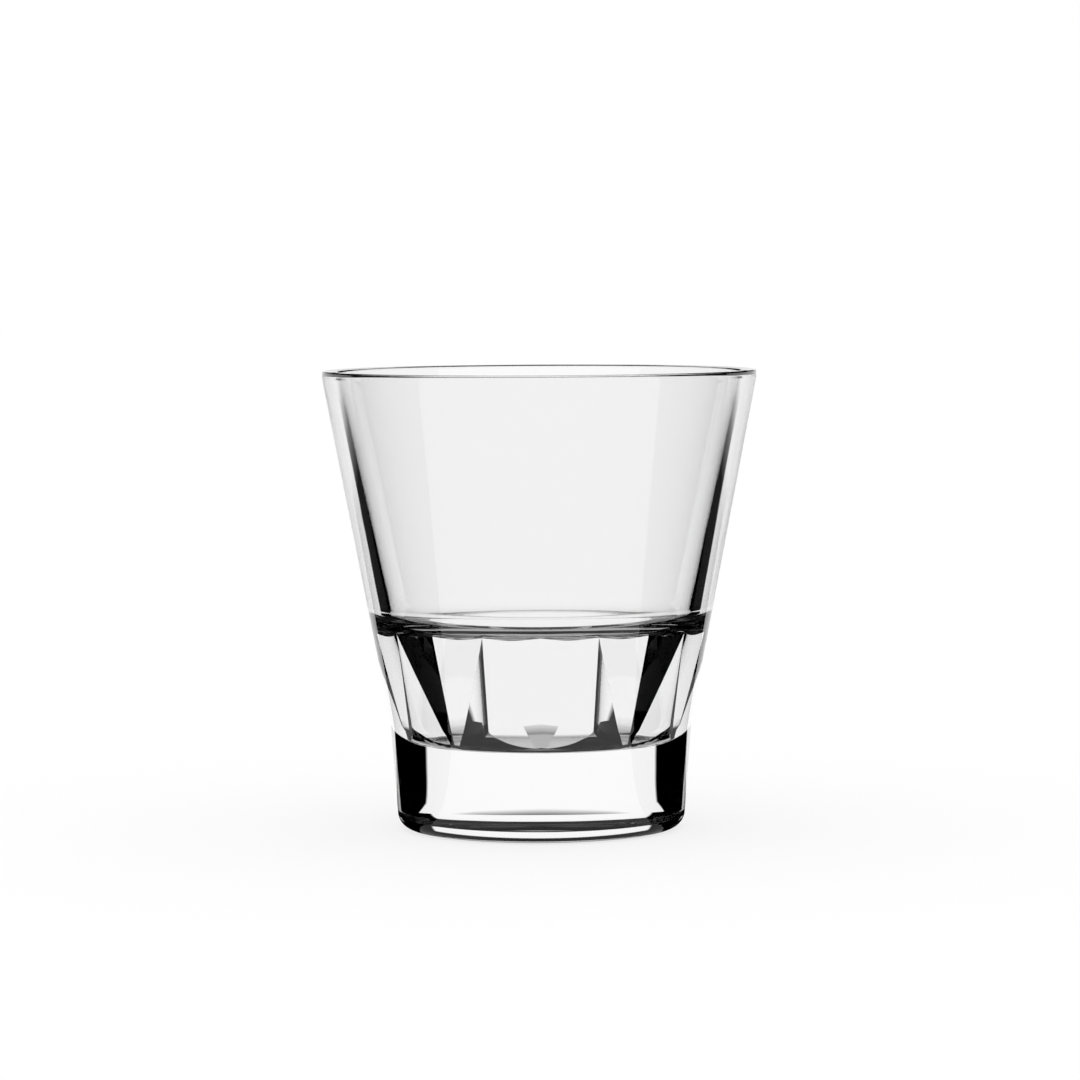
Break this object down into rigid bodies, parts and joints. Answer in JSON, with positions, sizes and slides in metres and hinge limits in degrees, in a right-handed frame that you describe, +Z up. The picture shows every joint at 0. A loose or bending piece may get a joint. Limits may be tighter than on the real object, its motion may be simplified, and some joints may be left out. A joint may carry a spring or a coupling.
{
  "type": "rocks glass",
  "caption": "Short clear pressed-glass tumbler: smooth flared outside on a thick solid foot, wide bowl above a seven-sided pleated well.",
  "frame": {"origin": "centre of the underside, on the table the glass stands on", "axes": "+Z up along the axis of the glass, -Y towards the viewer of the picture through the middle of a side of the well, +X to the viewer's right"},
  "size_m": [0.0876, 0.0876, 0.0926],
  "materials": {
    "clear_glass": "fire-polished clear soda-lime glass"
  },
  "bodies": {
    "root": {"tumbler": "clear_glass"}
  },
  "joints": []
}
